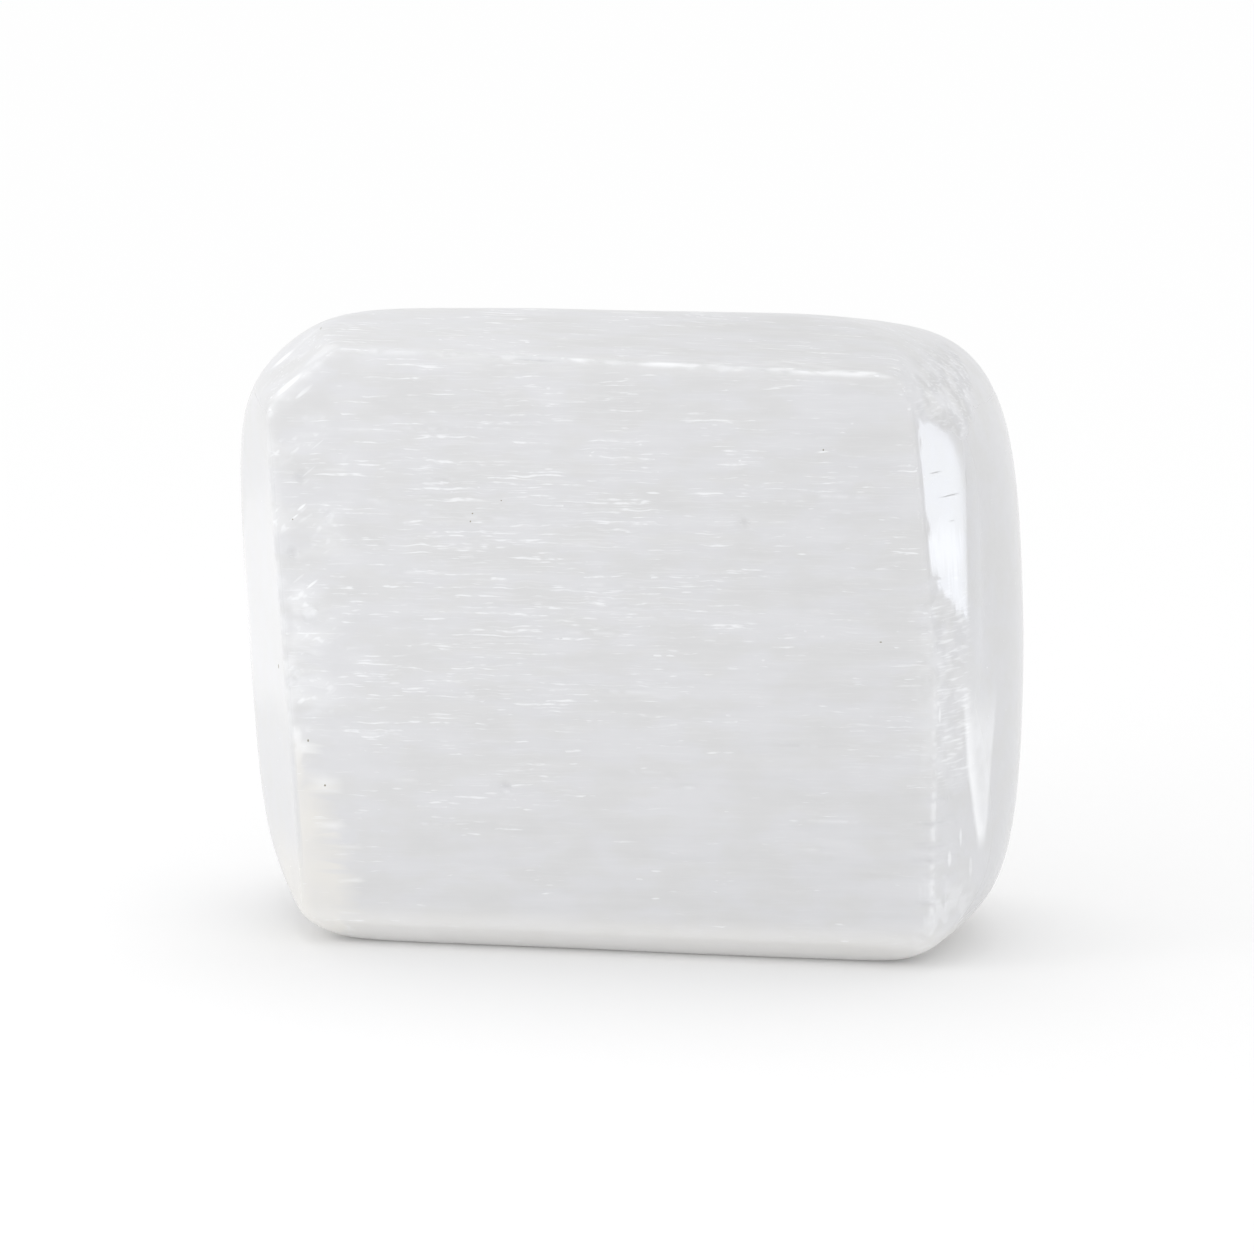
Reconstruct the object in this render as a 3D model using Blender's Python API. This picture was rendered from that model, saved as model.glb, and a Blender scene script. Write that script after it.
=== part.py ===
"""Tumbled selenite: one milky, fibrous stone worn smooth, standing on the flat of its long narrow side.

Metres, +Z up. +X runs along the fibres, which is the stone's length, and +Y runs from the front face to
the back. The origin is on the floor, under the middle of the stone.
"""

import math
import random

import bmesh
import bpy
from mathutils import Matrix, Vector, noise

MM = 0.001

# The point inside the stone that every facet is measured from stands this high above the floor.
CORE_HEIGHT = 14.0 * MM

# A facet is (azimuth, tilt, distance). Azimuth is in degrees from the front face (-Y) towards the right
# end (+X), tilt is in degrees up from level, and distance is from the core point, in millimetres.

# Facets that wear has rounded into each other.
WORN = {
    "front": (0, 0, 8.6),
    "back": (180, 1, 8.4),
    "right_end_high": (88.5, 11.5, 18.15),
    "right_end_low": (67.5, 2.5, 17.05),
    "right_back_high": (112, 4, 18.3),
    "right_back_low": (112, -8, 17.5),
    "back_right": (140, 4, 15.3),
    "back_left": (-132, -3, 15.5),
    "left_end_high": (-88, 1.5, 17.15),
    "left_end_low": (-88, -8, 17.25),
    "left_shoulder": (-60, -2, 16.0),
    "top_left": (-90, 49.5, 17.75),
    "top_right": (90, 60, 16.8),
    "top_back": (184, 80.5, 12.4),
    "back_top": (178, 42, 14.55),
    "bottom_left": (-90, -58.5, 18.15),
    "bottom_right": (90, -30.5, 22.15),
    "right_foot": (90, -63, 19.5),
    "back_foot": (183, -46, 15.6),
    "under": (0, -90, 14.8),
}
WEAR = 18  # the higher this is, the tighter the rounding between worn facets

# Facets that are still flat, with an edge all round.
FLAT = {
    "front_face": (0, 0, 8.0),
    "top_face": (6.5, 80, 12.8),
    "left_bevel": (-61, -1.5, 15.1),
    "right_chamfer_high": (63.5, 5.5, 16.8),
    "right_chamfer_low": (59, -0.5, 16.95),
    "right_corner": (77, 28, 18.25),
    "left_corner": (-53.5, 44.5, 17.8),
    "front_foot": (0, -50, 15.1),
    "back_face": (179, 1, 8.0),
    "back_corner": (-155, 40, 15.2),
    "back_chamfer": (143, -6, 15.1),
}

# Quads along the stone's length, depth and height in the worn blank, and its half sizes.
BLANK_CELLS = (30, 14, 24)
BLANK_HALF = Vector((17, 8, 13.5)) * MM
SWELL_SIZE = 9.0 * MM  # width of the gentle swells that tumbling leaves
SWELL_HEIGHT = 0.10 * MM

# The fibres lean down towards the right end.
FIBRE_LEAN = math.radians(1.2)

# Splits between fibres on the broad faces: how many, and the least and most of each size.
FRONT_SPLITS = 26
BACK_SPLITS = 14
TOP_SPLITS = 8
SPLIT_LENGTH = (2.0 * MM, 6.0 * MM)
SPLIT_WIDTH = (0.14 * MM, 0.28 * MM)
SPLIT_DEPTH = (0.07 * MM, 0.13 * MM)
SPLIT_REACH = (11.0 * MM, 9.0 * MM)  # how far from the core point they lie, along and up
TOP_SPLIT_REACH = 4.0 * MM  # and how far across the top
HALF_DEPTH = 8.0 * MM  # from the core point to the broad faces, front and back
HALF_HEIGHT = 13.0 * MM  # from the core point to the top

# Notches where fibre ends have broken away, in a comb down the edge of the right chamfer.
COMB_BOTTOM = 2.5 * MM
COMB_TOP = 17.0 * MM
COMB_PITCH = 0.85 * MM
COMB_LENGTH = (1.2 * MM, 2.8 * MM)
COMB_WIDTH = (0.30 * MM, 0.60 * MM)
COMB_DEPTH = (0.16 * MM, 0.34 * MM)

# Splinters gone from the ridge between the front face and the top.
RIDGE_LEFT = -10.0 * MM
RIDGE_RIGHT = 12.5 * MM
RIDGE_PITCH = 2.5 * MM
RIDGE_LENGTH = (1.5 * MM, 4.0 * MM)
RIDGE_WIDTH = (0.30 * MM, 0.50 * MM)
RIDGE_DEPTH = (0.18 * MM, 0.30 * MM)

# Bruises knocked into the front face beside the left bevel: how far along, how high, and how wide.
BRUISES = (
    (-12.2 * MM, 20.3 * MM, 0.70 * MM),
    (-11.0 * MM, 18.6 * MM, 0.50 * MM),
    (-12.6 * MM, 17.0 * MM, 0.55 * MM),
    (-11.9 * MM, 14.4 * MM, 0.75 * MM),
    (-12.5 * MM, 11.8 * MM, 0.50 * MM),
    (-3.4 * MM, 7.2 * MM, 0.55 * MM),
    (6.8 * MM, 18.9 * MM, 0.45 * MM),
)
BRUISE_DEPTH = 0.12 * MM

WANDER = (0.2, 0.8)  # where within its pitch a notch or a splinter lies, as a share
SPLINTER_TILT = 45  # degrees up from level, halfway between the front face and the top
FLAW_SEED = 11  # settles where the flaws fall
SPINDLE_SIDES = 4
SPINDLE_RINGS = 2
BRUISE_SIDES = 7
BRUISE_RINGS = 4

STONE_COLOR = (0.78, 0.78, 0.79)
POLISH = 0.3
GYPSUM_IOR = 1.52


def facing(azimuth, tilt):
    """The outward direction of a facet."""
    turn = math.radians(azimuth)
    rise = math.radians(tilt)
    return Vector((math.sin(turn) * math.cos(rise), -math.cos(turn) * math.cos(rise), math.sin(rise)))


def plane(azimuth, tilt, distance):
    return facing(azimuth, tilt), distance * MM


WORN_PLANES = [plane(*facet) for facet in WORN.values()]
FLAT_PLANES = {name: plane(*facet) for name, facet in FLAT.items()}
FIBRE = Vector((math.cos(FIBRE_LEAN), 0, -math.sin(FIBRE_LEAN)))


def worn_radius(direction):
    """Distance from the core point to the worn surface, to which the nearest facets count the most."""
    shares = (max(0.0, direction.dot(normal)) / distance for normal, distance in WORN_PLANES)
    radius = sum(share**WEAR for share in shares) ** (-1 / WEAR)
    return radius + SWELL_HEIGHT * noise.noise(direction * radius / SWELL_SIZE)


def surface_towards(direction):
    """The place on the surface in some direction from the core point, and the way the stone faces there."""
    direction = direction.normalized()
    radius = worn_radius(direction)
    normal = max(WORN_PLANES, key=lambda worn: direction.dot(worn[0]) / worn[1])[0]
    for flat_normal, distance in FLAT_PLANES.values():
        toward = direction.dot(flat_normal)
        if toward > 0 and distance / toward < radius:
            radius = distance / toward
            normal = flat_normal
    return direction * radius, normal


def selenite_material():
    material = bpy.data.materials.new("selenite")
    material.use_nodes = True
    shader = material.node_tree.nodes["Principled BSDF"]
    shader.inputs["Base Color"].default_value = (*STONE_COLOR, 1)
    shader.inputs["Roughness"].default_value = POLISH
    shader.inputs["Metallic"].default_value = 0.0
    shader.inputs["IOR"].default_value = GYPSUM_IOR
    return material


def worn_blank():
    """A box of quads, with each corner moved out to the worn surface."""
    mesh = bmesh.new()
    bmesh.ops.create_cube(mesh, size=2)
    for axis, cells in enumerate(BLANK_CELLS):
        along = [
            edge for edge in mesh.edges if abs(edge.verts[0].co[axis] - edge.verts[1].co[axis]) > 1
        ]
        bmesh.ops.subdivide_edges(mesh, edges=along, cuts=cells - 1, use_grid_fill=True)
    for vertex in mesh.verts:
        direction = (vertex.co * BLANK_HALF).normalized()
        vertex.co = direction * worn_radius(direction)
    return mesh


def grind_flat(mesh, normal, distance):
    """Takes off all that lies beyond a plane, and closes the cut with one face."""
    bmesh.ops.bisect_plane(
        mesh,
        geom=mesh.verts[:] + mesh.edges[:] + mesh.faces[:],
        dist=0.001 * MM,
        plane_co=normal * distance,
        plane_no=normal,
        clear_outer=True,
    )
    rim = [edge for edge in mesh.edges if edge.is_boundary]
    bmesh.ops.holes_fill(mesh, edges=rim, sides=0)


def add_split(cutters, middle, normal, length, width, depth):
    """A spindle along the fibres, half sunk in the surface, which leaves a groove with tapering ends."""
    along = (FIBRE - normal * FIBRE.dot(normal)).normalized()
    across = normal.cross(along)
    turned = Matrix((across, normal, along)).transposed().to_4x4()
    sized = Matrix.Diagonal((width / 2, depth, length / 2, 1))
    placed = Matrix.Translation(middle) @ turned @ sized
    bmesh.ops.create_uvsphere(
        cutters, u_segments=SPINDLE_SIDES, v_segments=SPINDLE_RINGS, radius=1, matrix=placed
    )


def add_face_splits(cutters, chance, count, face, reach):
    """Scatters splits over a broad face: face is its middle, and reach is how far they lie from it."""
    for _ in range(count):
        towards = face + Vector(chance.uniform(-far, far) for far in reach)
        middle, normal = surface_towards(towards)
        add_split(
            cutters,
            middle,
            normal,
            chance.uniform(*SPLIT_LENGTH),
            chance.uniform(*SPLIT_WIDTH),
            chance.uniform(*SPLIT_DEPTH),
        )


def add_comb(cutters, chance):
    """Notches along the edge where the front face meets the right chamfer."""
    front_normal, front_distance = FLAT_PLANES["front_face"]
    chamfers = [FLAT_PLANES["right_chamfer_high"], FLAT_PLANES["right_chamfer_low"]]
    for step in range(int((COMB_TOP - COMB_BOTTOM) / COMB_PITCH)):
        height = COMB_BOTTOM + (step + chance.uniform(*WANDER)) * COMB_PITCH - CORE_HEIGHT
        x = min((out - front_distance * -n.y - n.z * height) / n.x for n, out in chamfers)
        add_split(
            cutters,
            Vector((x, -front_distance, height)),
            front_normal,
            chance.uniform(*COMB_LENGTH),
            chance.uniform(*COMB_WIDTH),
            chance.uniform(*COMB_DEPTH),
        )


def add_ridge_chips(cutters, chance):
    """Splinters gone from the edge where the front face meets the top."""
    _, front_distance = FLAT_PLANES["front_face"]
    top_normal, top_distance = FLAT_PLANES["top_face"]
    for step in range(int((RIDGE_RIGHT - RIDGE_LEFT) / RIDGE_PITCH)):
        x = RIDGE_LEFT + (step + chance.uniform(*WANDER)) * RIDGE_PITCH
        height = (top_distance + top_normal.y * front_distance - top_normal.x * x) / top_normal.z
        add_split(
            cutters,
            Vector((x, -front_distance, height)),
            facing(0, SPLINTER_TILT),
            chance.uniform(*RIDGE_LENGTH),
            chance.uniform(*RIDGE_WIDTH),
            chance.uniform(*RIDGE_DEPTH),
        )


def add_bruises(cutters):
    """Shallow dents in the front face."""
    _, front_distance = FLAT_PLANES["front_face"]
    for along, height, width in BRUISES:
        middle = Vector((along, -front_distance, height - CORE_HEIGHT))
        sized = Matrix.Diagonal((width / 2, BRUISE_DEPTH, width / 2, 1))
        placed = Matrix.Translation(middle) @ sized
        bmesh.ops.create_uvsphere(
            cutters, u_segments=BRUISE_SIDES, v_segments=BRUISE_RINGS, radius=1, matrix=placed
        )


def mesh_object(name, mesh):
    data = bpy.data.meshes.new(name)
    mesh.to_mesh(data)
    mesh.free()
    made = bpy.data.objects.new(name, data)
    bpy.context.scene.collection.objects.link(made)
    return made


def flaw_cutter():
    """Everything that has been split, chipped or knocked out of the surface, as one hidden cutter."""
    chance = random.Random(FLAW_SEED)
    cutters = bmesh.new()
    along, up = SPLIT_REACH
    add_face_splits(cutters, chance, FRONT_SPLITS, Vector((0, -HALF_DEPTH, 0)), (along, 0, up))
    add_face_splits(cutters, chance, BACK_SPLITS, Vector((0, HALF_DEPTH, 0)), (along, 0, up))
    add_face_splits(cutters, chance, TOP_SPLITS, Vector((0, 0, HALF_HEIGHT)), (along, TOP_SPLIT_REACH, 0))
    add_comb(cutters, chance)
    add_ridge_chips(cutters, chance)
    add_bruises(cutters)
    cutter = mesh_object("flaw_cutter", cutters)
    cutter.hide_render = True
    cutter.display_type = "WIRE"
    return cutter


def selenite_stone():
    """The worn blank, ground flat where its facets are and marked by its flaws."""
    mesh = worn_blank()
    grind_flat(mesh, Vector((0, 0, -1)), CORE_HEIGHT)
    for normal, distance in FLAT_PLANES.values():
        grind_flat(mesh, normal, distance)
    bmesh.ops.recalc_face_normals(mesh, faces=mesh.faces)
    low = Vector(min(vertex.co[axis] for vertex in mesh.verts) for axis in range(3))
    high = Vector(max(vertex.co[axis] for vertex in mesh.verts) for axis in range(3))
    stone = mesh_object("selenite_stone", mesh)
    stone.data.materials.append(selenite_material())
    middle = (low + high) / 2
    stone.location = (-middle.x, -middle.y, -low.z)
    cutter = flaw_cutter()
    cutter.location = stone.location
    flaws = stone.modifiers.new("flaws", "BOOLEAN")
    flaws.object = cutter
    flaws.operation = "DIFFERENCE"
    flaws.solver = "EXACT"
    flaws.use_self = True
    return stone


for old in list(bpy.data.objects):
    bpy.data.objects.remove(old)
selenite_stone()
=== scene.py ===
"""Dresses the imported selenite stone: a finely chipped mesh, a milky fibrous material and a stage.

Lengths in the tables and zones are millimetres from the core point inside the stone, as in the
part's source: +X runs along the fibres to the right end, -Y is the front face, +Z is up.
"""

import math
import random

import bmesh
import bpy
import numpy as np
from bpy.props import FloatProperty, FloatVectorProperty, IntProperty, PointerProperty
from mathutils import Matrix, Vector, noise


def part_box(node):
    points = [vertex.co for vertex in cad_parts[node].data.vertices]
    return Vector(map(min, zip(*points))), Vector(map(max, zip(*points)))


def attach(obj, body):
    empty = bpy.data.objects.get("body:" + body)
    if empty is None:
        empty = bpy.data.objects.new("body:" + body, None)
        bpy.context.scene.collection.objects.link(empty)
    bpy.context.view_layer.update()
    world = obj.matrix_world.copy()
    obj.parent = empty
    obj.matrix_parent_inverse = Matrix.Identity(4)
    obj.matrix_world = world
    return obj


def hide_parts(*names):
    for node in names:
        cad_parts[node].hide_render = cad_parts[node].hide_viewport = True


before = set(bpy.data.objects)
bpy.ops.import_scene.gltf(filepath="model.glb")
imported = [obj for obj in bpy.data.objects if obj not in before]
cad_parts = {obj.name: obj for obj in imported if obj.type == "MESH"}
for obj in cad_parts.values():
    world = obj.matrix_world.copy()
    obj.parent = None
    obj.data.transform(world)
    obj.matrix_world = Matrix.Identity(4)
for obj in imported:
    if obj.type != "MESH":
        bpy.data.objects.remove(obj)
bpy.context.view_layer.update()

bl_info = {
    "name": "Tumbled selenite",
    "version": (1, 0, 0),
    "blender": (4, 5, 0),
    "location": "View3D > Sidebar > Selenite",
    "description": "Builds and lights one tumbled stone of fibrous selenite",
    "category": "Add Mesh",
}

NODE = "selenite_stone"
MM = 0.001
CORE_HEIGHT = 14.0

# Facets that wear has rounded into each other: azimuth from the front face, tilt up, distance.
WORN = {
    "front": (0, 0, 8.6),
    "back": (180, 1, 8.4),
    "right_end_high": (88.5, 11.5, 18.15),
    "right_end_low": (67.5, 2.5, 17.05),
    "right_back_high": (112, 4, 18.3),
    "right_back_low": (112, -8, 17.5),
    "back_right": (140, 4, 15.3),
    "back_left": (-132, -3, 15.5),
    "left_end_high": (-88, 1.5, 17.15),
    "left_end_low": (-88, -8, 17.25),
    "left_shoulder": (-60, -2, 16.0),
    "top_left": (-90, 49.5, 17.75),
    "top_right": (90, 60, 16.8),
    "top_back": (184, 80.5, 12.4),
    "back_top": (178, 42, 14.55),
    "bottom_left": (-90, -57.5, 18.08),
    "bottom_right": (90, -30.5, 22.15),
    "right_foot": (90, -60.5, 19.4),
    "back_foot": (183, -46, 15.6),
    "under": (0, -90, 14.8),
}

# Facets that are still flat. Those named in SOFTENED have rounded edges.
FLAT = {
    "front_face": (0, 0, 8.0),
    "top_face": (6.5, 80, 12.8),
    "left_bevel": (-64, -3.5, 15.3),
    "right_chamfer_high": (63.5, 5.5, 16.8),
    "right_chamfer_low": (59, -0.5, 16.95),
    "right_corner": (84, 30, 18.45),
    "left_corner": (-53.5, 44.5, 17.8),
    "front_foot": (0, -50, 15.05),
    "back_face": (179, 1, 8.0),
    "back_corner": (-155, 40, 15.2),
    "back_chamfer": (143, -6, 15.1),
    "base": (0, -90, CORE_HEIGHT),
}
SOFTENED = ("right_corner", "left_corner", "front_foot", "back_corner", "back_chamfer")

# How tight the rounding is between worn, softened and flat facets.
WEAR = 18
SOFT_EDGE = 70
EDGE = 160

# Swells of the worn stone, polishing waves, where the fibre ridges fade out towards the ends, and
# the direction of the fibres, which fall a little to the right.
SWELL_SIZE = 9.0
SWELL_HEIGHT = 0.10
WAVE_SIZE = 4.5
RELIEF_END = (12.5, 14.5)
FIBRE_LEAN = math.radians(1.2)
FIBRE = np.array((math.cos(FIBRE_LEAN), 0, -math.sin(FIBRE_LEAN)))
FLAW_SEED = 11

# The material: casts of the pale and dark clouds, kinks in the fibres, grain, a painted glow that
# lightens the foot, and how far light goes into the stone. Grain and depth are in metres.
BLUE_CAST = (0.9985, 0.9995, 1.005)
BROWN_CAST = (1.002, 1.001, 0.993)
KINK_SCALE = 0.9
KINK_SIZE = (0.25, 0.2, 0.2)
GRAIN_HEIGHT = 0.003 * MM
PAINTED_FOOT_GLOW = (1.0, 0.99, 0.96)
PAINTED_FOOT_GLOW_STRENGTH = 0.068
GYPSUM_IOR = 1.52
LIGHT_DEPTH = 2.5 * MM

# Dents in the front face: along the fibres, height above the floor, width.
BRUISES = (
    (-12.2, 20.3, 0.70),
    (-11.0, 18.6, 0.50),
    (-12.6, 17.0, 0.55),
    (-11.9, 14.4, 0.75),
    (-12.5, 11.8, 0.50),
    (-3.4, 7.2, 0.55),
    (6.8, 18.9, 0.45),
)
BRUISE_DEPTH = 0.12

# Edges that wear has turned white, and one crease painted light over its shade: the two facets
# that meet, how wide, how white.
PALE_EDGES_AND_LIT_CREASE = (
    ("front_face", "top_face", 0.26, 0.62),
    ("front_face", "left_corner", 0.30, 0.45),
    ("front_face", "right_corner", 0.20, 0.4),
    ("front_face", "right_chamfer_high", 0.12, 0.3),
    ("front_face", "right_chamfer_low", 0.22, 0.5),
    ("top_face", "right_corner", 0.14, 0.9),
    ("top_face", "left_corner", 0.16, 0.4),
    ("right_corner", "right_chamfer_high", 0.10, 0.3),
    ("left_corner", "left_bevel", 0.12, 0.3),
    # Painted light: this pale crease covers the shade along the left bevel's edge.
    ("front_face", "left_bevel", 0.12, 0.35),
)

# The right limit of the cream stain on the front face: how far left, by height.
CREAM_HEIGHTS = (-14.0, -12.0, -10.0, -8.5, -6.5, -4.5)
CREAM_LIMITS = (-10.6, -10.1, -10.4, -11.0, -11.7, -12.7)

# Left and right limits of the painted highlight in a sliver beside the right chamfer: how far
# back, by height.
SLIVER_HEIGHTS = (-9.4, -5.5, -3.0)
SLIVER_FRONT = (-5.3, -6.1, -6.3)
SLIVER_BACK = (-5.0, -4.4, -3.7)

# Dark specks of clay: place, then half sizes along, through and up.
SPECKS = (
    ((-4.83, -8.0, 4.95), (0.045, 0.3, 0.040)),
    ((-4.92, -8.0, 4.61), (0.035, 0.3, 0.050)),
    ((-3.59, -8.0, 5.54), (0.040, 0.3, 0.035)),
    ((12.57, -8.0, 0.04), (0.070, 0.3, 0.035)),
    ((10.10, -8.0, 8.10), (0.040, 0.3, 0.055)),
    ((-11.29, -8.0, -6.99), (0.060, 0.3, 0.060)),
    ((-12.01, -8.0, -5.07), (0.045, 0.3, 0.080)),
    ((-13.52, -6.9, -2.10), (0.055, 0.5, 0.140)),
    ((-11.96, -5.5, 12.28), (0.090, 0.5, 0.090)),
    ((-12.60, -8.0, 4.46), (0.040, 0.4, 0.040)),
)

# White scratches and split fibres that stand out: place, then half sizes along, through and up.
STREAKS = (
    ((-11.60, -8.0, -3.72), (0.95, 0.4, 0.045)),
    ((-8.50, -8.0, -3.90), (0.45, 0.4, 0.040)),
    ((-8.60, -8.0, 2.90), (0.80, 0.4, 0.055)),
    ((-2.20, -8.0, 6.30), (0.90, 0.4, 0.045)),
    ((-1.70, -8.0, 5.95), (0.60, 0.4, 0.035)),
    ((2.20, -8.0, 5.65), (0.45, 0.4, 0.035)),
    ((7.00, -8.0, 7.45), (0.95, 0.4, 0.035)),
    ((2.00, -8.0, 4.50), (0.85, 0.4, 0.040)),
)

# White gashes that run up to the right across the fibres: place, then half sizes along, through
# and across.
DIAGONAL = math.radians(40)
GASHES = (
    ((-12.95, -8.06, 10.05), (1.55, 0.9, 0.17)),
    ((-12.05, -8.0, 9.95), (0.60, 0.6, 0.11)),
    ((-13.60, -5.8, 10.90), (1.00, 1.0, 0.11)),
    ((-12.55, -8.0, 4.53), (0.34, 0.4, 0.05)),
    ((-12.20, -8.0, 5.00), (0.30, 0.4, 0.07)),
    ((-11.48, -8.0, 7.71), (0.45, 0.4, 0.04)),
    ((-11.89, -8.0, 6.53), (0.50, 0.4, 0.05)),
    ((-12.37, -8.0, 1.92), (0.40, 0.4, 0.06)),
    ((-11.77, -8.0, 1.71), (0.40, 0.4, 0.07)),
)

# Upright white marks by the right chamfer and its foot: place, then half sizes along, through, up.
UPRIGHT_MARKS = (
    ((14.90, -8.00, -7.10), (0.07, 0.4, 0.75)),
    ((15.05, -7.85, -3.10), (0.06, 0.4, 0.55)),
    ((15.42, -7.09, -9.32), (0.09, 0.4, 0.45)),
    ((15.80, -6.45, -8.50), (0.06, 0.4, 0.50)),
    ((16.15, -5.87, -9.91), (0.08, 0.4, 0.55)),
    ((16.03, -7.12, -10.8), (0.07, 0.4, 0.85)),
    ((15.30, -7.40, -11.2), (0.08, 0.4, 0.50)),
)

# The level turn that lays streaks along the right chamfers, and the thin dark cracks that cross the
# polished one: place, then half sizes along, through and up.
CHAMFER_TURN = math.radians(-60)
CRACKS = (
    ((14.66, -6.88, 7.10), (0.55, 0.3, 0.035)),
    ((15.18, -6.10, 6.02), (0.95, 0.3, 0.040)),
    ((15.73, -4.86, 6.60), (0.05, 0.3, 0.500)),
    ((15.20, -6.05, 4.95), (0.30, 0.3, 0.030)),
)

# The marks that paint_zones leaves on the mesh for the material: opened fibres and painted
# light along one crease, white under the surface and painted highlights, cream, gloss, crushed
# and bruised edges, the two top corners, dull faces, painted shade on the top and right faces,
# how closely flecks crowd, and how plainly fibres show.
ZONES = (
    *("fresh_and_lit_crease", "haze_and_highlight", "stain", "polish", "crushed", "bruised"),
    *("right_corner", "left_corner", "dull", "painted_shade", "crowd", "lined"),
)

# Lights, in metres and watts. The panels only show as reflections: name, place, target, size, power
# and colour.
MIRRORED_PANELS = (
    (
        "chamfer_panel",
        (0.105, 0.036, 0.0105),
        (0.015, -0.006, 0.0175),
        (0.035, 0.024),
        0.0092,
        (0.84, 0.9, 1.0),
    ),
    (
        "bevel_panel",
        (-0.067, 0.044, 0.0006),
        (-0.067, 0.044, 0.1),
        (0.055, 0.055),
        0.0020,
        (0.97, 0.97, 1.0),
    ),
    (
        "corner_panel",
        (-0.093, 0.066, 0.084),
        (-0.012, -0.008, 0.024),
        (0.05, 0.05),
        0.0015,
        (1.0, 1.0, 1.0),
    ),
)
WINDOW_PLACE = (-0.07, -0.055, 0.055)
WINDOW_TARGET = (-0.010, -0.008, 0.014)
WINDOW_SIZE = (0.04, 0.04)
WINDOW_POWER = 0.008
SUN_SIDE = (-0.05, 0.30, 0.95)
SUN_SOFTNESS = math.radians(45)
FLOOR_REACH = 3.0

# The camera's target, in millimetres from the frame's origin, and how many degrees the camera
# stands to the right of the front and above level.
VIEW_TARGET = (-0.09, -0.19, 12.83)
VIEW_TURN = 10.5
VIEW_RISE = 10.6
SENSOR_WIDTH = 36.0


class StoneSizes(bpy.types.PropertyGroup):
    """How finely the stone is meshed, and how deep its wear goes"""

    cells: IntProperty(
        name="Cells",
        description="Quads along the stone before it is thinned",
        default=300,
        min=40,
    )
    triangles: IntProperty(
        name="Triangles",
        description="Triangles that are kept",
        default=190000,
        min=10000,
    )
    relief: FloatProperty(
        name="Fibre relief",
        description="Height of the low ridges that the fibres leave",
        default=0.010 * MM,
        unit="LENGTH",
        precision=6,
    )
    waves: FloatProperty(
        name="Waves",
        description="Height of the slow waves that polishing leaves in the flats",
        default=0.030 * MM,
        unit="LENGTH",
        precision=6,
    )
    split_depth: FloatProperty(
        name="Split depth",
        description="How much of the full depth the splits and notches keep",
        default=0.5,
        min=0,
        max=1,
        subtype="FACTOR",
    )


class StoneFinish(bpy.types.PropertyGroup):
    """Colours and gloss of the selenite"""

    body: FloatVectorProperty(
        name="Body",
        description="Colour of the stone",
        subtype="COLOR",
        size=3,
        default=(0.715, 0.717, 0.730),
    )
    fleck: FloatVectorProperty(
        name="Flecks",
        description="Colour of the split fibres",
        subtype="COLOR",
        size=3,
        default=(0.97, 0.98, 1.0),
    )
    cream: FloatVectorProperty(
        name="Cream",
        description="Colour of the stained foot",
        subtype="COLOR",
        size=3,
        default=(0.80, 0.787, 0.760),
    )
    speck: FloatVectorProperty(
        name="Specks",
        description="Colour of the clay specks",
        subtype="COLOR",
        size=3,
        default=(0.27, 0.25, 0.19),
    )
    satin: FloatProperty(
        name="Satin",
        description="Roughness of the worn faces",
        default=0.30,
        min=0,
        max=1,
        subtype="FACTOR",
    )
    polish: FloatProperty(
        name="Polish",
        description="Roughness of the polished bevels",
        default=0.16,
        min=0,
        max=1,
        subtype="FACTOR",
    )
    glow: FloatProperty(
        name="Glow",
        description="Share of the light that goes into the stone",
        default=0.25,
        min=0,
        max=1,
        subtype="FACTOR",
    )


class StageSettings(bpy.types.PropertyGroup):
    """Floor, light and camera"""

    room: FloatProperty(
        name="Room light",
        description="Brightness of the white room",
        default=0.96,
        min=0,
    )
    floor: FloatProperty(
        name="Floor",
        description="Whiteness of the floor",
        default=0.86,
        min=0,
        max=1,
    )
    sun: FloatProperty(
        name="Sun",
        description="Strength of the soft light from behind",
        default=0.45,
        min=0,
    )
    lift: FloatProperty(
        name="Floor glow",
        description="Light that the floor adds itself",
        default=0.05,
        min=0,
    )
    distance: FloatProperty(
        name="Camera distance",
        description="From the stone to the camera",
        default=0.3012,
        unit="LENGTH",
    )
    lens: FloatProperty(
        name="Lens",
        description="Focal length",
        default=200.0,
        unit="CAMERA",
    )


# ---------------------------------------------------------------- shape


def facing(azimuth, tilt):
    """The outward direction of a facet."""
    turn = math.radians(azimuth)
    rise = math.radians(tilt)
    level = math.cos(rise)
    return np.array((math.sin(turn) * level, -math.cos(turn) * level, math.sin(rise)))


def nearness(towards, facets, power):
    """How strongly a family of facets cuts each direction, summed to a power."""
    cut = np.zeros(len(towards))
    for azimuth, tilt, distance in facets.values():
        cut += (np.maximum(towards @ facing(azimuth, tilt), 0) / distance) ** power
    return cut


def noise_at(points):
    return np.array([noise.noise(point) for point in points.tolist()])


def step(value, low, high):
    """Rises smoothly from 0 to 1 between two limits."""
    share = np.clip((value - low) / (high - low), 0, 1)
    return share * share * (3 - 2 * share)


def below(value, low, high):
    """Falls smoothly from 1 to 0 between two limits."""
    return 1 - step(value, low, high)


def band(value, start, full, fade, end):
    """Rises from 0 to 1 between the first two limits and falls back between the last two."""
    return step(value, start, full) * below(value, fade, end)


def surface_radius(towards):
    """Distance from the core point to the surface in each direction."""
    worn = nearness(towards, WORN, WEAR) ** (-1 / WEAR)
    worn += SWELL_HEIGHT * noise_at(towards * (worn / SWELL_SIZE)[:, None])
    soft = {name: FLAT[name] for name in SOFTENED}
    crisp = {name: facet for name, facet in FLAT.items() if name not in SOFTENED}
    softened = (worn**-SOFT_EDGE + nearness(towards, soft, SOFT_EDGE)) ** (-1 / SOFT_EDGE)
    return (softened**-EDGE + nearness(towards, crisp, EDGE)) ** (-1 / EDGE)


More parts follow.
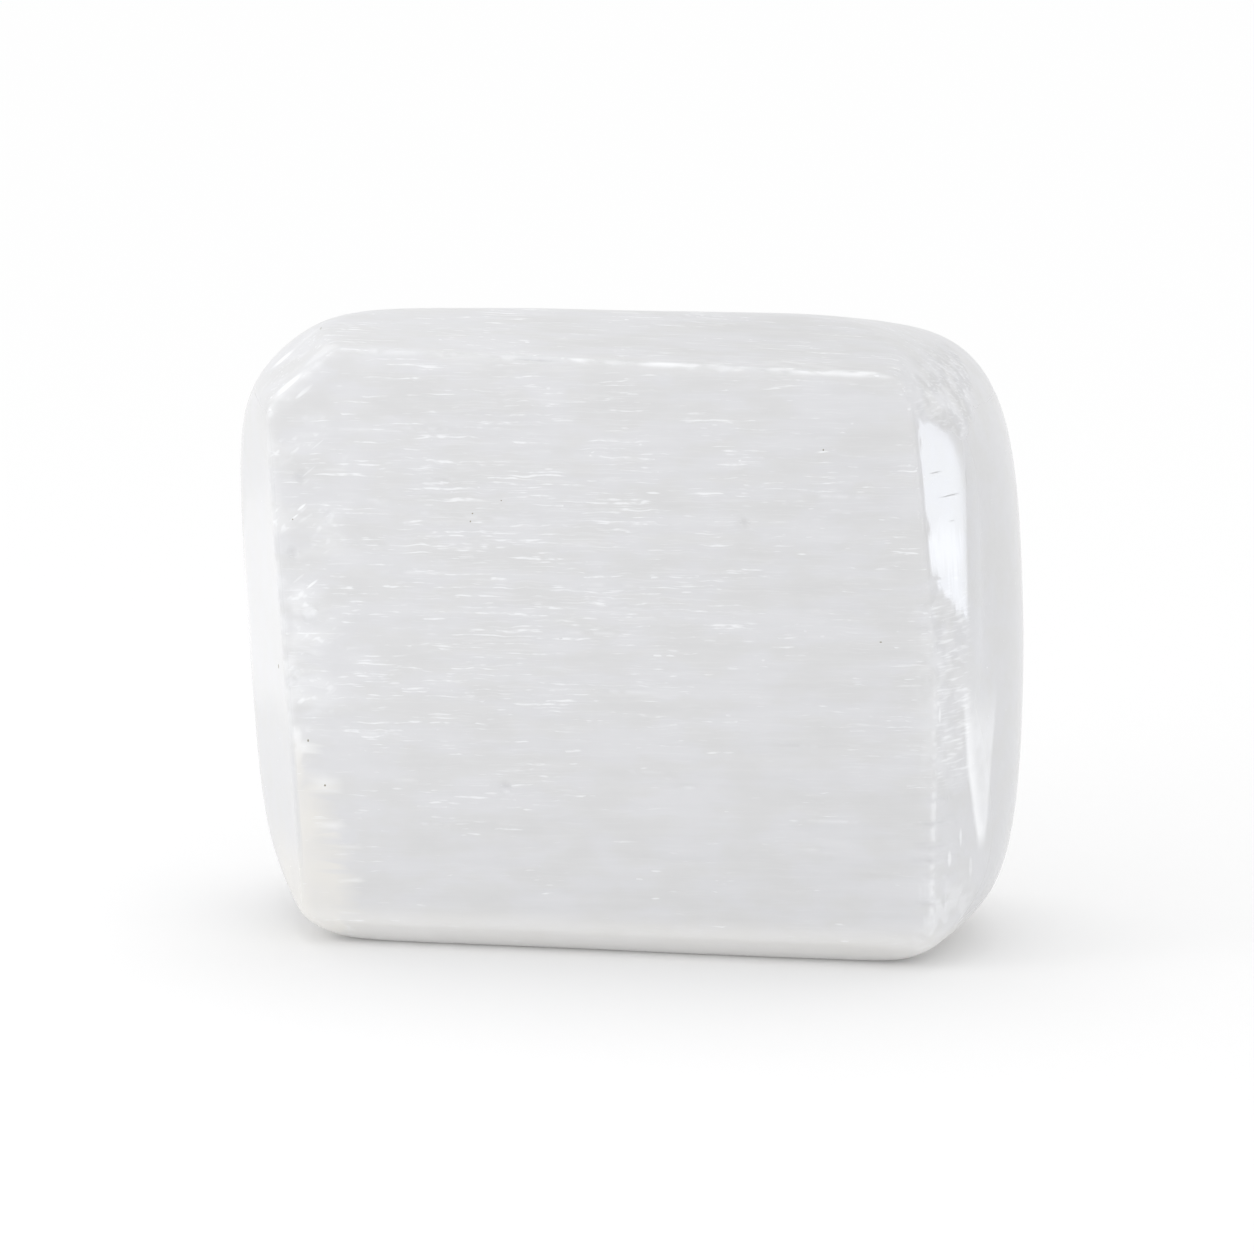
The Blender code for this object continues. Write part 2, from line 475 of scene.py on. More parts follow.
def blank(cells):
    """A box of quads, crowded towards its edges, and the directions of its corners."""
    half = np.array((17.0, 8.0, 13.5))
    extra_depth = 1.1
    crowding = 0.15
    sides = (half[0], half[1] * extra_depth, half[2])
    mesh = bmesh.new()
    bmesh.ops.create_cube(mesh, size=2)
    for axis, side in enumerate(sides):
        cuts = round(cells * side / half[0]) - 1
        along = [
            edge for edge in mesh.edges if abs(edge.verts[0].co[axis] - edge.verts[1].co[axis]) > 1
        ]
        bmesh.ops.subdivide_edges(mesh, edges=along, cuts=cuts, use_grid_fill=True)
    data = bpy.data.meshes.new("tumbled_selenite")
    mesh.to_mesh(data)
    mesh.free()
    places = vertex_places(data)
    places = ((1 + crowding) * places - crowding * places**3) * half
    return data, places / np.linalg.norm(places, axis=1, keepdims=True)


def vertex_places(data):
    places = np.empty(len(data.vertices) * 3, np.float32)
    data.vertices.foreach_get("co", places)
    return places.reshape(-1, 3).astype(float)


def surface_towards(towards):
    """The place on the surface in some direction, and the way the stone faces there."""
    towards = towards / np.linalg.norm(towards)
    radius = nearness(towards[None], WORN, WEAR)[0] ** (-1 / WEAR)
    facets = {**WORN, **FLAT}
    del facets["base"]
    best = max(facets.values(), key=lambda facet: towards @ facing(*facet[:2]) / facet[2])
    toward = towards @ facing(*best[:2])
    return towards * min(radius, best[2] / toward), facing(*best[:2])


def face_splits(chance, count, face, reach):
    """Thin splits along the fibres, scattered over one face."""
    found = []
    for _ in range(count):
        towards = [at + chance.uniform(-far, far) for at, far in zip(face, reach)]
        middle, normal = surface_towards(np.array(towards))
        length = chance.uniform(2.0, 6.0)
        width = chance.uniform(0.14, 0.28)
        depth = chance.uniform(0.07, 0.13)
        found.append((middle, normal, length, width, depth))
    return found


def comb_notches(chance):
    """Notches along the edge where the front face meets the right chamfer."""
    found = []
    front_distance = FLAT["front_face"][2]
    chamfers = [FLAT[name] for name in ("right_chamfer_high", "right_chamfer_low")]
    bottom, top, pitch = 2.5, 17.0, 0.85
    for notch in range(int((top - bottom) / pitch)):
        height = bottom + (notch + chance.uniform(0.2, 0.8)) * pitch - CORE_HEIGHT
        meets = []
        for azimuth, tilt, distance in chamfers:
            out = facing(azimuth, tilt)
            meets.append((distance + front_distance * out[1] - out[2] * height) / out[0])
        length = chance.uniform(1.2, 2.8)
        width = chance.uniform(0.30, 0.60)
        depth = chance.uniform(0.16, 0.34)
        middle = np.array((min(meets), -front_distance, height))
        found.append((middle, facing(0, 0), length, width, depth))
    return found


def ridge_height(x):
    """Height of the edge where the front face meets the top."""
    top = facing(*FLAT["top_face"][:2])
    return (FLAT["top_face"][2] + top[1] * FLAT["front_face"][2] - top[0] * x) / top[2]


def ridge_chips(chance):
    """Splinters gone from the edge where the front face meets the top."""
    found = []
    left, right, pitch = -10.0, 12.5, 2.5
    for chip in range(int((right - left) / pitch)):
        x = left + (chip + chance.uniform(0.2, 0.8)) * pitch
        length = chance.uniform(1.5, 4.0)
        width = chance.uniform(0.30, 0.50)
        depth = chance.uniform(0.18, 0.30)
        middle = np.array((x, -FLAT["front_face"][2], ridge_height(x)))
        found.append((middle, facing(0, 45), length, width, depth))
    return found


def groove_share(points, middle, normal, length, width):
    """How deep each point lies in a groove with tapering ends that runs along the fibres."""
    along = FIBRE - normal * (FIBRE @ normal)
    along /= np.linalg.norm(along)
    across = np.cross(normal, along)
    offset = points - middle
    share = 1 - np.abs(offset @ along) / (length / 2) - np.abs(offset @ across) / (width / 2)
    share[np.abs(offset @ normal) > 2] = 0
    return np.maximum(share, 0)


def bruise_share(points, along, height, width):
    """How deep each point lies in a round dent of the front face."""
    middle = np.array((along, -FLAT["front_face"][2], height - CORE_HEIGHT))
    return np.maximum(1 - (np.linalg.norm(points - middle, axis=1) / (width / 2)) ** 2, 0)


def fibre_noise(points, length, thickness):
    """Noise drawn out along the fibres."""
    x, y, z = points.T
    rise = z + x * math.sin(FIBRE_LEAN)
    return noise_at(np.stack((x / length, y / thickness, rise / thickness), axis=1))


def all_grooves():
    """Every split, notch and chip: middle, outward direction, length, width and depth."""
    chance = random.Random(FLAW_SEED)
    grooves = face_splits(chance, 26, (0, -8, 0), (11, 0, 9))
    grooves += face_splits(chance, 14, (0, 8, 0), (11, 0, 9))
    grooves += face_splits(chance, 8, (0, 0, 13), (11, 4, 0))
    grooves += comb_notches(chance)
    return grooves + ridge_chips(chance)


def stone_shape(sizes, grooves):
    """The stone's mesh in millimetres from its core point."""
    data, towards = blank(sizes.cells)
    points = towards * surface_radius(towards)[:, None]
    broad_ridges = fibre_noise(points, length=14, thickness=0.9)
    fine_ridges = fibre_noise(points, length=5, thickness=0.35)
    relief = (0.65 * broad_ridges + 0.35 * fine_ridges) * below(np.abs(points[:, 0]), *RELIEF_END)
    relief = relief * sizes.relief + noise_at(points / WAVE_SIZE) * sizes.waves
    points += towards * (relief / MM)[:, None]
    for middle, normal, length, width, depth in grooves:
        share = groove_share(points, middle, normal, length, width)
        points -= normal * (depth * sizes.split_depth * share)[:, None]
    for bruise in BRUISES:
        points += np.array((0, BRUISE_DEPTH, 0)) * bruise_share(points, *bruise)[:, None]
    data.vertices.foreach_set("co", points.astype(np.float32).ravel())
    data.update()
    return data


def thinned(data, triangles):
    """The same shape with its flat stretches in larger triangles."""
    dense = bpy.data.objects.new("dense", data)
    bpy.context.scene.collection.objects.link(dense)
    decimate = dense.modifiers.new("thin", "DECIMATE")
    decimate.ratio = triangles / (2 * len(data.polygons))
    evaluated = dense.evaluated_get(bpy.context.evaluated_depsgraph_get())
    result = bpy.data.meshes.new_from_object(evaluated)
    bpy.data.objects.remove(dense)
    bpy.data.meshes.remove(data)
    result.name = "tumbled_selenite"
    return result


def depth_below(points, name):
    """How far inside one flat facet's plane each point lies."""
    azimuth, tilt, distance = FLAT[name]
    return distance - points @ facing(azimuth, tilt)


class Skin:
    """Where the stone's points lie and face, with the noises that make its zones ragged."""

    def __init__(self, data):
        normals = np.array([normal.vector for normal in data.vertex_normals])
        self.points = vertex_places(data)
        self.x, self.y, self.z = self.points.T
        self.crown = step(normals[:, 2], 0.5, 0.9)
        self.end = np.abs(normals[:, 0])
        self.right = step(self.x, 0, 1)
        self.broad = noise_at(self.points / 1.3)
        self.fine = noise_at(self.points / 0.45 + 7)
        self.drawn = fibre_noise(self.points + 3, length=0.9, thickness=0.22)

    def facet(self, name):
        """1 on one flat facet, falling to 0 beside it."""
        return below(depth_below(self.points, name), 0.08, 0.22)

    def left_strip(self):
        """The bruised strip of the front face beside the left bevel."""
        strip = self.facet("front_face") * below(self.x, -12.2, -9.6)
        return strip * band(self.z, -6.0, -3.0, 8.0, 10.5)

    def comb(self):
        """The crushed part of the edge between the front face and the right chamfer."""
        comb = band(self.x, 13.7, 14.5, 15.9, 16.2) * step(-self.y, 5.0, 6.0)
        return comb * band(self.z, -7.0, -5.0, 1.4, 2.6)

    def corner_line(self):
        """The height of the rough right corner's lower rim, which falls towards the back."""
        falling = 9.40 - 0.486 * (self.y + 7.1)
        rising = 8.2 + 0.4 * (self.y + 4.6)
        return np.maximum(falling, rising) + 0.3 * self.fine

    def right_corner(self):
        """The rough corner above the polished chamfer."""
        corner = step(self.z - self.corner_line(), -0.1, 0.2) * below(self.z, 12.0, 13.0)
        return corner * step(self.x + 0.15 * self.z + 0.4 * self.broad, 14.9, 15.9)

    def mirror(self):
        """The polished part of the right chamfer, broken off below along a slant."""
        broken_off = 2.7 - 1.6 * (self.x - 14.65) + 0.5 * self.fine
        back_limit = 0.115 * (self.z - 0.5) - 5.6
        front_limit = -7.75 + 0.5 * np.maximum(self.fine + 0.5 * self.broad, 0)
        mirror = self.facet("right_chamfer_high") * step(self.z - broken_off, -0.1, 0.15)
        mirror *= below(self.z - self.corner_line(), -0.15, 0.05)
        mirror *= below(self.y - back_limit, -0.05, 0.12)
        return mirror * step(self.y - front_limit, -0.08, 0.08)


def fresh_and_lit_crease_zone(skin, grooves):
    """Open fibres in grooves and bruises and along pale edges, and painted light on one crease."""
    points = skin.points
    fresh_and_lit_crease = np.zeros(len(points))
    ragged = step(skin.fine + 0.6 * skin.broad, -0.4, 0.3)
    comb_start, comb_white, groove_white = 13.2, 0.12, 0.30
    for middle, normal, length, width, _ in grooves:
        white = comb_white if middle[0] > comb_start else groove_white
        share = np.minimum(groove_share(points, middle, normal, length, width) * 1.6, 1)
        fresh_and_lit_crease = np.maximum(fresh_and_lit_crease, share * white * ragged)
    spotty = 0.35 * step(skin.fine + 0.5 * skin.broad, -0.1, 0.3)
    for bruise in BRUISES:
        fresh_and_lit_crease = np.maximum(fresh_and_lit_crease, np.sqrt(bruise_share(points, *bruise)) * spotty)
    frayed = step(skin.drawn + 0.5 * skin.broad, -0.2, 0.5) * (0.35 + 0.65 * step(skin.x, -4, 0))
    for first, second, width, white in PALE_EDGES_AND_LIT_CREASE:
        apart = np.maximum(depth_below(points, first), depth_below(points, second))
        fresh_and_lit_crease = np.maximum(fresh_and_lit_crease, below(apart, 0.1 * width, width) * white * frayed)
    return fresh_and_lit_crease


def painted_sliver_highlight(skin):
    """A painted highlight in a sliver beside the right chamfer, brightest along its front limit."""
    front = skin.y - np.interp(skin.z, SLIVER_HEIGHTS, SLIVER_FRONT)
    back = skin.y - np.interp(skin.z, SLIVER_HEIGHTS, SLIVER_BACK)
    sliver = step(front, -0.1, 0.15) * below(back, -0.1, 0.15)
    sliver *= band(skin.z, -9.4, -8.4, -4.6, -2.0) * step(skin.x, 10, 12)
    return sliver * (0.42 + 0.40 * below(front, 0.1, 0.7) + 0.15 * skin.fine)


def painted_mirror_highlight(skin):
    """A painted highlight on the polished chamfer, brightest in a patch in the middle."""
    away = np.linalg.norm((skin.points - (15.1, -6.7, 4.0)) / (1.2, 1.5, 1.25), axis=1)
    ragged = away + 0.5 * skin.fine + 0.3 * skin.broad
    return skin.mirror() * (0.04 + 0.24 * below(ragged, 0.45, 1.0))


def haze_and_highlight_zone(skin):
    """Whiteness that lies under the surface, and painted highlights by the right chamfer."""
    x, y, z, broad, fine, drawn = skin.x, skin.y, skin.z, skin.broad, skin.fine, skin.drawn
    front = skin.facet("front_face")
    left_third = front * below(x, -13, -3) * step(z, -9.0, -2.0)
    left_edge = front * below(x, -12.0, -10.6) * band(z, -6.0, -4.0, 1.5, 3.5)
    brow = skin.facet("top_face") * below(depth_below(skin.points, "front_face"), 0.3, 2.2)
    brow *= step(x, -2, 8)
    end_foot = step(skin.end, 0.6, 0.85) * skin.right * below(z, -3.0, 2.0)
    foot = step(x, 13.8, 14.6) * below(z, -10.6, -9.8) * step(-y, 5.2, 6.2)
    haze_and_highlight = 0.17 * skin.left_strip() * step(broad + 0.7 * fine, -0.3, 0.5)
    haze_and_highlight += 0.10 * left_third * step(broad + 0.5 * drawn, -0.2, 0.5)
    haze_and_highlight += 0.12 * left_edge * step(fine, -0.4, 0.3)
    haze_and_highlight += 0.13 * skin.comb() * step(fine + broad, -0.4, 0.3)
    haze_and_highlight += 0.14 * brow * step(drawn, -0.1, 0.3)
    haze_and_highlight += 0.05 * end_foot
    haze_and_highlight += 0.20 * foot * step(fine + 0.6 * broad, -0.1, 0.3)
    haze_and_highlight += skin.facet("right_chamfer_low") * (0.03 + 0.10 * below(z, -12.0, -6.0))
    return haze_and_highlight + painted_sliver_highlight(skin) + painted_mirror_highlight(skin)


def stain_zones(skin):
    """The cream stain at the left foot and along the base, and the white scales at its rim."""
    x, y, z, broad, fine = skin.x, skin.y, skin.z, skin.broad, skin.fine
    bevel = skin.facet("left_bevel")
    limit = np.interp(z, CREAM_HEIGHTS, CREAM_LIMITS) + 0.7 * broad + 0.5 * fine
    stain = step(limit - x, -0.2, 0.5) * below(z, -6.4, -3.6) * step(-y, 2.5, 5.5)
    scales = 4 * stain * (1 - stain) * step(fine + broad, 0.0, 0.3) * (1 - bevel)
    stain *= 1 - bevel * step(z + 0.4 * broad, -11.2, -8.8)
    stain *= 0.75 + 0.25 * step(broad, -0.4, 0.3)
    return np.maximum(stain, 0.5 * below(z, -13.2, -11.6)), scales


def crowd_zone(skin, polish):
    """How closely the flecks crowd: most left of the middle, least towards the lower right."""
    x, z = skin.x, skin.z
    crowd = 0.5 + 0.35 * np.exp(-((x + 4) ** 2 / 70 + (z - 4) ** 2 / 60))
    crowd -= 0.30 * step(0.5 * x - z, 2, 12)
    crowd += 0.40 * noise_at(skin.points / 2.6 + 20) + 0.35 * noise_at(skin.points / 1.1 + 30)
    crowd += 0.35 * step(x, 12.6, 13.6) * band(z, -7.0, -5.0, 1.4, 2.6)
    return crowd * (1 - 0.9 * step(skin.end, 0.55, 0.85)) * (1 - 0.8 * polish)


def paint_zones(data, grooves):
    """Marks for the material where the stone is white, stained, polished or full of flecks."""
    skin = Skin(data)
    x, y, z = skin.x, skin.y, skin.z
    mirror = skin.mirror()
    right_corner = skin.right_corner()
    stain, scales = stain_zones(skin)

    bevel = skin.facet("left_bevel") * band(z, -11.2, -9.6, 6.5, 10.5)
    ends = 0.6 * step(skin.end, 0.8, 0.95) * (1 - right_corner)
    polish = np.maximum(np.maximum(bevel, mirror), ends)
    chamfers = np.maximum(skin.facet("right_chamfer_high"), skin.facet("right_chamfer_low"))
    dull = np.maximum(chamfers * (1 - mirror), right_corner)
    # Painted shade: darker tops, darker towards the right, and a darker right end.
    painted_shade = skin.crown * (0.5 + 0.5 * step(x, -14, 12)) + (1 - skin.crown) * 0.09 * step(x, 0, 14)
    painted_shade += 0.33 * step(skin.end, 0.6, 0.85) * skin.right

    painted = {
        "fresh_and_lit_crease": np.maximum(fresh_and_lit_crease_zone(skin, grooves), 0.4 * scales),
        "haze_and_highlight": haze_and_highlight_zone(skin),
        "stain": stain,
        "polish": polish,
        "crushed": np.maximum(skin.comb() * step(y, -7.95, -7.75), 0.7 * right_corner),
        "bruised": skin.left_strip() * step(skin.broad, -0.2, 0.3),
        "right_corner": right_corner,
        "left_corner": skin.facet("left_corner"),
        "dull": dull,
        "painted_shade": painted_shade,
        "crowd": crowd_zone(skin, polish),
        "lined": (0.3 + 0.7 * step(x, -11, -4)) * (1 - polish) * (1 - 0.6 * dull),
    }
    for name in ZONES:
        layer = data.attributes.new(name, "FLOAT", "POINT")
        layer.data.foreach_set("value", np.clip(painted[name], 0, 1).astype(np.float32))


def fitted(data):
    """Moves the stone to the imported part's place; gives its core point in millimetres."""
    points = vertex_places(data)
    low, high = (np.array(corner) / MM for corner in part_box(NODE))
    scale = (high - low) / np.ptp(points, axis=0)
    core = low - points.min(0) * scale
    data.vertices.foreach_set("co", ((points * scale + core) * MM).astype(np.float32).ravel())
    data.update()
    return core


# ---------------------------------------------------------------- material


def shader_group(name, inputs, outputs):
    """An empty node group with named sockets, and its two end nodes."""
    tree = bpy.data.node_groups.new(name, "ShaderNodeTree")
    for label, kind, value in inputs:
        socket = tree.interface.new_socket(label, in_out="INPUT", socket_type=kind)
        if value is not None:
            socket.default_value = value
    for label, kind in outputs:
        tree.interface.new_socket(label, in_out="OUTPUT", socket_type=kind)
    return tree, tree.nodes.new("NodeGroupInput"), tree.nodes.new("NodeGroupOutput")


def add_node(tree, kind, links=(), **settings):
    """A node with its settings, and its inputs linked to sockets or set to values."""
    node = tree.nodes.new(kind)
    for name, value in settings.items():
        setattr(node, name, value)
    for name, value in dict(links).items():
        if isinstance(value, bpy.types.NodeSocket):
            tree.links.new(value, node.inputs[name])
        else:
            node.inputs[name].default_value = value
    return node


def maths(tree, operation, first, second=0.0, clamp=False):
    values = {0: first, 1: second}
    return add_node(tree, "ShaderNodeMath", values, operation=operation, use_clamp=clamp).outputs[0]


def chained(tree, operation, values):
    """One operation over several values in turn."""
    result = values[0]
    for value in values[1:]:
        result = maths(tree, operation, result, value)
    return result


def product(tree, *values):
    return chained(tree, "MULTIPLY", values)


def total(tree, *values):
    return chained(tree, "ADD", values)


def strongest(tree, *values):
    return chained(tree, "MAXIMUM", values)


def vectors(tree, operation, first, second):
    values = {0: first, 1: second}
    return add_node(tree, "ShaderNodeVectorMath", values, operation=operation).outputs[0]


def scaled(tree, vector, factor):
    values = {0: vector, "Scale": factor}
    return add_node(tree, "ShaderNodeVectorMath", values, operation="SCALE").outputs[0]


def mixed(tree, factor, first, second):
    node = add_node(tree, "ShaderNodeMix", {"Factor": factor}, data_type="RGBA")
    for socket, value in ((node.inputs[6], first), (node.inputs[7], second)):
        if isinstance(value, bpy.types.NodeSocket):
            tree.links.new(value, socket)
        else:
            socket.default_value = (*value, 1)
    return node.outputs[2]


def ramp(tree, value, low, high, to_low=0.0, to_high=1.0):
    node = add_node(
        tree,
        "ShaderNodeMapRange",
        {"Value": value, "From Min": low, "From Max": high, "To Min": to_low, "To Max": to_high},
        interpolation_type="SMOOTHSTEP",
    )
    return node.outputs["Result"]


def soft_noise(tree, vector, scale, detail=1.0):
    values = {"Vector": vector, "Scale": scale, "Detail": detail}
    return add_node(tree, "ShaderNodeTexNoise", values)


def turned(tree, vector, axis, angle):
    values = {"Vector": vector, "Angle": angle}
    return add_node(tree, "ShaderNodeVectorRotate", values, rotation_type=axis).outputs[0]


def drawn_out(tree, given):
    """The group's vector divided by its length and thickness."""
    sizes = {0: given["Length"], 1: given["Thickness"], 2: given["Thickness"]}
    sizes = add_node(tree, "ShaderNodeCombineXYZ", sizes).outputs[0]
    return vectors(tree, "DIVIDE", given["Vector"], sizes)


def fibre_space_group(core):
    """Millimetres from the core point, the same along the fibres, and that with small kinks."""
    spaces = [(name, "NodeSocketVector") for name in ("Place", "Straight", "Fibres")]
    tree, _, end = shader_group("Fibre space", (), spaces)
    place = add_node(tree, "ShaderNodeTexCoord").outputs["Object"]
    place = vectors(tree, "MULTIPLY", place, (1 / MM, 1 / MM, 1 / MM))
    place = vectors(tree, "SUBTRACT", place, tuple(core))
    straight = turned(tree, place, "Y_AXIS", FIBRE_LEAN)
    kinks = soft_noise(tree, straight, KINK_SCALE).outputs["Color"]
    kinked = vectors(tree, "ADD", straight, vectors(tree, "MULTIPLY", kinks, KINK_SIZE))
    tree.links.new(place, end.inputs["Place"])
    tree.links.new(straight, end.inputs["Straight"])
    tree.links.new(kinked, end.inputs["Fibres"])
    return tree


def streak_group():
    """Noise drawn out along the fibres, and the same cut to lines where it passes a threshold."""
    tree, start, end = shader_group(
        "Fibre streaks",
        (
            ("Vector", "NodeSocketVector", None),
            ("Length", "NodeSocketFloat", 2.0),
            ("Thickness", "NodeSocketFloat", 0.1),
            ("Threshold", "NodeSocketFloat", 0.65),
            ("Softness", "NodeSocketFloat", 0.06),
            ("Detail", "NodeSocketFloat", 1.0),
        ),
        (("Value", "NodeSocketFloat"), ("Lines", "NodeSocketFloat")),
    )
    given = start.outputs
    value = soft_noise(tree, drawn_out(tree, given), 1.0, given["Detail"]).outputs["Fac"]
    top = maths(tree, "ADD", given["Threshold"], given["Softness"])
    tree.links.new(value, end.inputs["Value"])
    tree.links.new(ramp(tree, value, given["Threshold"], top), end.inputs["Lines"])
    return tree


def dash_group():
    """Separate tapering dashes along the fibres, each with its own size and whiteness."""
    tree, start, end = shader_group(
        "Fibre dashes",
        (
            ("Vector", "NodeSocketVector", None),
            ("Length", "NodeSocketFloat", 1.0),
            ("Thickness", "NodeSocketFloat", 0.1),
            ("Share", "NodeSocketFloat", 0.3),
        ),
        (("Mask", "NodeSocketFloat"),),
    )
    given = start.outputs
    values = {"Vector": drawn_out(tree, given), "Scale": 1.0}
    cells = add_node(tree, "ShaderNodeTexVoronoi", values, feature="F1")
    luck = add_node(tree, "ShaderNodeSeparateColor", {0: cells.outputs["Color"]})
    size = ramp(tree, luck.outputs[0], 0.0, 1.0, 0.22, 0.48)
    reach = maths(tree, "DIVIDE", cells.outputs["Distance"], size)
    shape = ramp(tree, maths(tree, "SUBTRACT", 1.0, reach, clamp=True), 0.0, 0.55)
    chosen = maths(tree, "LESS_THAN", luck.outputs[1], given["Share"])
    white = maths(tree, "ADD", maths(tree, "POWER", luck.outputs[2], 3.0), 0.15, clamp=True)
    tree.links.new(product(tree, shape, chosen, white), end.inputs["Mask"])
    return tree


def spot_group():
    """How far a place lies from the middle of a spot: 1 at its rim."""
    tree, start, end = shader_group(
        "Spot",
        (
            ("Vector", "NodeSocketVector", None),
            ("Stretch", "NodeSocketVector", (10.0, 10.0, 10.0)),
            ("Shift", "NodeSocketVector", (0.0, 0.0, 0.0)),
        ),
        (("Reach", "NodeSocketFloat"),),
    )
    given = start.outputs
    values = {0: given["Vector"], 1: given["Stretch"], 2: given["Shift"]}
    offset = add_node(tree, "ShaderNodeVectorMath", values, operation="MULTIPLY_ADD").outputs[0]
    reach = add_node(tree, "ShaderNodeVectorMath", {0: offset}, operation="LENGTH")
    tree.links.new(reach.outputs["Value"], end.inputs["Reach"])
    return tree


def use_group(tree, group, **values):
    node = add_node(tree, "ShaderNodeGroup", node_tree=group)
    for name, value in values.items():
        socket = node.inputs[name.capitalize()]
        if isinstance(value, bpy.types.NodeSocket):
            tree.links.new(value, socket)
        else:
            socket.default_value = value
    return node.outputs


def turned_spots(spots, axis, angle):
    """The same spots in a frame that is turned about the Y or the Z axis."""
    turn = Matrix.Rotation(angle, 3, axis)
    return [(tuple(turn @ Vector(at)), size) for at, size in spots]


class StoneTree:
    """The material's node tree, with the spaces, zones and groups that its marks share."""

    def __init__(self, tree, core):
        space = use_group(tree, fibre_space_group(core))
        self.tree = tree
        self.place = space["Place"]
        self.straight = space["Straight"]
        self.fibres = space["Fibres"]
        self.crossed = turned(tree, self.place, "Y_AXIS", DIAGONAL)
        self.aside = turned(tree, self.place, "Z_AXIS", CHAMFER_TURN)
        self.streaks = streak_group()
        self.dashes = dash_group()
        self.spot = spot_group()
        self.zones = {
            name: add_node(tree, "ShaderNodeAttribute", attribute_name=name).outputs["Fac"]
            for name in ZONES
        }
        self.clouds = self.noise(self.fibres, length=3.0, thickness=1.3, detail=3.0)
        self.patches = self.noise(self.crossed, length=1.5, thickness=0.8)

    def noise(self, vector, **values):
        """Soft noise drawn out along a space's first axis."""
        return use_group(self.tree, self.streaks, vector=vector, **values)["Value"]

    def lines(self, vector, **values):
        """The same noise cut to lines."""
        return use_group(self.tree, self.streaks, vector=vector, **values)["Lines"]

    def scattered(self, **values):
        """Separate dashes along the fibres."""
        return use_group(self.tree, self.dashes, vector=self.fibres, **values)["Mask"]

    def spots(self, vector, spots):
        """The union of the spots in a table."""
        reaches = []
        for at, size in spots:
            stretch = tuple(1 / half for half in size)
            shift = tuple(-middle / half for middle, half in zip(at, size))
            values = {"vector": vector, "stretch": stretch, "shift": shift}
            reaches.append(use_group(self.tree, self.spot, **values)["Reach"])
        return ramp(self.tree, chained(self.tree, "MINIMUM", reaches), 1.0, 0.4)


def body_colour(stone, finish):
    """Silk along the fibres over clouds: the dark ones brownish, the pale ones bluish."""
    tree = stone.tree
    zones = stone.zones
    silk = stone.noise(stone.fibres, length=6.0, thickness=0.35, detail=2.0)
    silk = product(tree, maths(tree, "SUBTRACT", silk, 0.5), zones["lined"], 0.075)
    calm = ramp(tree, zones["polish"], 0.0, 1.0, 1.0, 0.2)
    cloudy = product(tree, ramp(tree, stone.clouds, 0.3, 0.7, -0.025, 0.025), calm)
    mottled = ramp(tree, stone.patches, 0.36, 0.64, -0.05, 0.07)
    mottled = product(tree, mottled, zones["right_corner"])
    # Painted shade: darker on the top faces and towards the right.
    painted_darkening = product(tree, zones["painted_shade"], -0.15)
    shade = total(tree, 1.0, silk, cloudy, mottled, painted_darkening)
    blue = tuple(part * cast for part, cast in zip(finish.body, BLUE_CAST))
    brown = tuple(part * cast for part, cast in zip(finish.body, BROWN_CAST))
    colour = mixed(tree, ramp(tree, stone.clouds, 0.42, 0.58), brown, blue)
    return mixed(tree, zones["stain"], scaled(tree, colour, shade), finish.cream)


def split_fibres(stone):
    """Long seams that come and go, finer hairlines, loose dashes, and crumbs in the clouds."""
    tree = stone.tree
    fibres = stone.fibres
    crowd = stone.zones["crowd"]
    broken = stone.lines(fibres, length=0.5, thickness=0.16, threshold=0.34, softness=0.30)
    level = ramp(tree, crowd, 0.0, 1.0, 0.74, 0.57)
    seams = stone.lines(fibres, length=4.0, thickness=0.12, threshold=level, softness=0.10)
    hairs = stone.lines(fibres, length=1.8, thickness=0.075, threshold=0.52, softness=0.18)
    hairs = product(tree, hairs, stone.zones["lined"], crowd, 0.14)
    share = ramp(tree, crowd, 0.05, 1.0, 0.0, 0.30)
    long_dashes = stone.scattered(length=2.4, thickness=0.15, share=share)
    short_dashes = stone.scattered(length=0.8, thickness=0.12, share=share)
    crumb_share = ramp(tree, crowd, 0.1, 0.7, 0.0, 0.34)
    crumb_share = product(tree, ramp(tree, stone.clouds, 0.50, 0.66), crumb_share)
    crumbs = stone.scattered(length=0.30, thickness=0.16, share=crumb_share)
    flecks = strongest(tree, seams, long_dashes, short_dashes, stone.spots(fibres, STREAKS))
    flecks = product(tree, flecks, maths(tree, "ADD", broken, 0.12), 0.54)
    return strongest(tree, flecks, product(tree, crumbs, 0.55), hairs)


def knocks(stone):
    """Scratches, gashes and wisps on the left, strokes and upright marks on the right."""
    tree = stone.tree
    zones = stone.zones
    scratches = ramp(tree, stone.patches, 0.52, 0.72, 0.0, 0.22)
    scratches = product(tree, scratches, zones["left_corner"])
    gashes = stone.spots(stone.crossed, turned_spots(GASHES, "Y", DIAGONAL))
    gashes = product(tree, gashes, ramp(tree, stone.patches, 0.40, 0.60, 0.25, 0.75))
    wisps = stone.lines(stone.crossed, length=0.55, thickness=0.30, threshold=0.56, softness=0.16)
    wisps = product(tree, wisps, zones["bruised"], 0.45)
    strokes = stone.lines(stone.aside, length=1.0, thickness=0.13, threshold=0.48, softness=0.26)
    strokes = product(tree, strokes, zones["crushed"], 0.42)
    upright = stone.spots(stone.place, UPRIGHT_MARKS)
    upright = product(tree, upright, ramp(tree, stone.clouds, 0.35, 0.6, 0.15, 0.45))
    return strongest(tree, scratches, gashes, wisps, strokes, upright)


